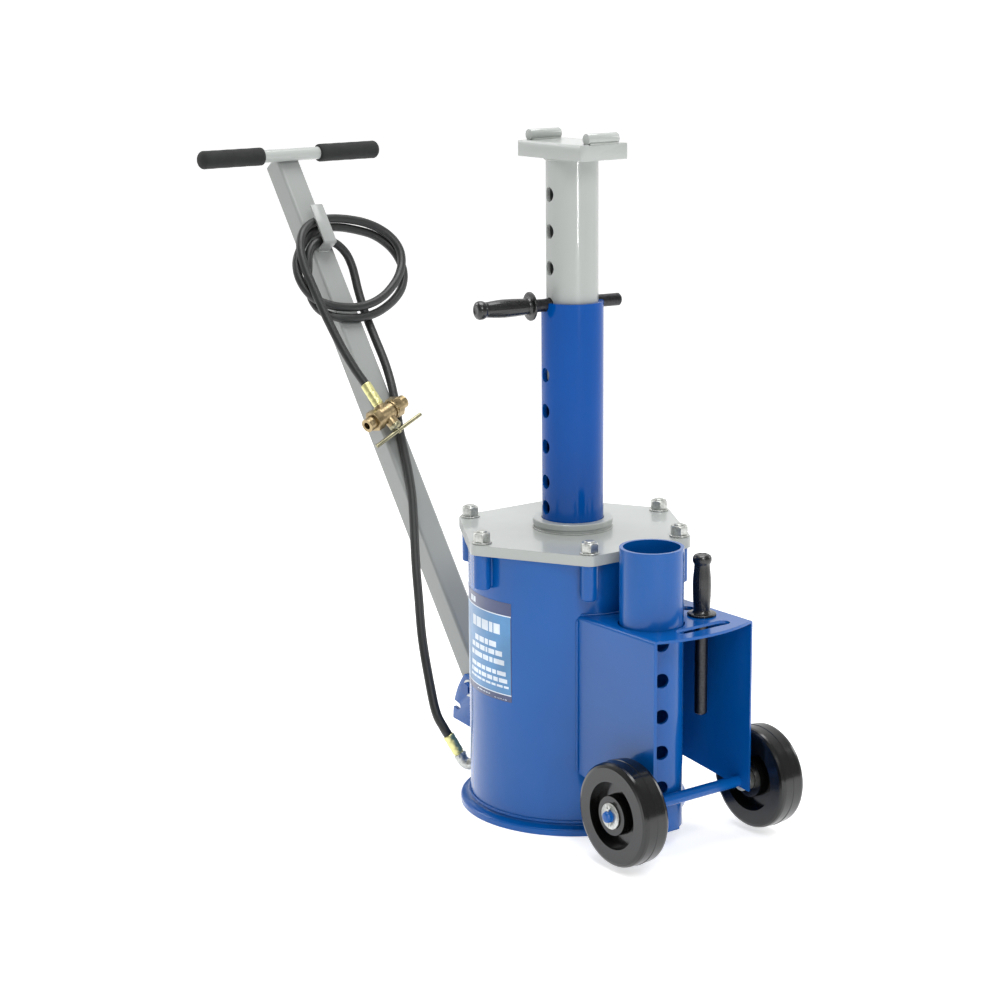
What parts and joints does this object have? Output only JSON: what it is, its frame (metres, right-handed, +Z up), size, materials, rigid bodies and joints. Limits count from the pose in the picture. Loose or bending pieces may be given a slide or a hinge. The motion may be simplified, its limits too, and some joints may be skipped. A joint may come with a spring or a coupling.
{
  "type": "air-operated lift jack and support stand",
  "caption": "Wheeled air jack with a locking lift post, saddle, spare pin and extension tube, tow handle, coiled air hose and lever valve.",
  "frame": {"origin": "centre of the round base plate's underside, on the floor", "axes": "+Z up along the ram; +Y towards the tow handle, -Y towards the wheels; X along the axle and the lock pins"},
  "size_m": [0.4338, 1.3814, 1.187],
  "materials": {
    "blue_paint": "gloss enamel",
    "grey_paint": "gloss enamel",
    "zinc_steel": "zinc plated",
    "dark_steel": "black oxide",
    "seal_rubber": "matte",
    "bronze": "machined bearing bronze",
    "valve_bronze": "cast, dull",
    "ferrule_brass": "bright",
    "cast_aluminium": "machined casting",
    "guide_plastic": "off-white",
    "label_film": "printed film",
    "wheel_plastic": "moulded",
    "grip_plastic": "moulded",
    "grip_foam": "closed-cell foam",
    "hose_rubber": "satin"
  },
  "bodies": {
    "frame": {"base_plate": "blue_paint", "cylinder_tube": "blue_paint", "bolt_bosses": "blue_paint", "cylinder_gasket": "seal_rubber", "top_plate": "grey_paint", "guide_collar": "grey_paint", "guide_bushing": "bronze", "ram_wiper": "seal_rubber", "top_bolts": "zinc_steel", "top_washers": "zinc_steel", "top_nuts": "zinc_steel", "piston_bumper": "seal_rubber", "inlet_elbow": "zinc_steel", "drain_plug": "zinc_steel", "rating_label": "label_film", "carriage_channel": "blue_paint", "tube_rest": "blue_paint", "axle": "blue_paint", "axle_spacers": "zinc_steel", "axle_washers": "zinc_steel", "cotter_pins": "zinc_steel", "handle_ears": "blue_paint", "handle_stop": "blue_paint", "pivot_bolt": "zinc_steel", "pivot_washers": "zinc_steel", "pivot_nut": "zinc_steel", "lower_ferrule": "ferrule_brass", "hose_lower": "hose_rubber"},
    "ram": {"ram_tube": "blue_paint", "ram_plug": "dark_steel", "piston": "cast_aluminium", "piston_seal": "seal_rubber", "wear_ring": "guide_plastic", "piston_bolts": "zinc_steel"},
    "post": {"post_tube": "grey_paint", "saddle_plate": "grey_paint", "saddle_bars": "grey_paint"},
    "post_pin": {"post_pin_rod": "dark_steel", "post_pin_grip": "grip_plastic"},
    "stored_pin": {"stored_pin_rod": "dark_steel", "stored_pin_grip": "grip_plastic"},
    "spare_tube": {"extension_tube": "blue_paint"},
    "wheel_l": {"wheel_left": "wheel_plastic", "wheel_left_bush": "guide_plastic"},
    "wheel_r": {"wheel_right": "wheel_plastic", "wheel_right_bush": "guide_plastic"},
    "handle": {"handle_bar": "grey_paint", "t_bar": "grey_paint", "grip_left": "grip_foam", "grip_right": "grip_foam", "hose_hook": "grey_paint", "hose_upper": "hose_rubber", "hose_coil": "hose_rubber", "hose_tail": "hose_rubber", "tail_ferrule": "ferrule_brass", "valve_body": "valve_bronze", "valve_unions": "valve_bronze", "valve_packing_nut": "valve_bronze"},
    "lever": {"valve_stem": "valve_bronze", "valve_lever": "valve_bronze"}
  },
  "joints": [
    {"name": "ram_lift", "type": "slide", "parent": "frame", "child": "ram", "axis": [0, 0, 1], "range_m": [-0.35, 0.05]},
    {"name": "post_extend", "type": "slide", "parent": "ram", "child": "post", "axis": [0, 0, 1], "range_m": [0, 0.125]},
    {"name": "post_pin_pull", "type": "slide", "parent": "post", "child": "post_pin", "axis": [-0.9877, 0.1564, 0], "range_m": [0, 0.18]},
    {"name": "stored_pin_lift", "type": "slide", "parent": "frame", "child": "stored_pin", "axis": [0, 0, 1], "range_m": [0, 0.18]},
    {"name": "spare_tube_lift", "type": "slide", "parent": "frame", "child": "spare_tube", "axis": [0, 0, 1], "range_m": [0, 0.36]},
    {"name": "handle_swing", "type": "hinge", "parent": "frame", "child": "handle", "pos_m": [0, 0.27, 0.143], "axis": [1, 0, 0], "range_deg": [0, 36], "deforming": ["hose_lower"]},
    {"name": "valve_turn", "type": "hinge", "parent": "handle", "child": "lever", "pos_m": [-0.028, 0.54474, 0.62323], "axis": [0.3746, -0.545, -0.7501], "range_deg": [-25, 45]},
    {"name": "wheel_left_spin", "type": "hinge", "parent": "frame", "child": "wheel_l", "pos_m": [-0.15, -0.325, 0.099], "axis": [1, 0, 0], "continuous": true},
    {"name": "wheel_right_spin", "type": "hinge", "parent": "frame", "child": "wheel_r", "pos_m": [0.15, -0.325, 0.099], "axis": [1, 0, 0], "continuous": true}
  ]
}
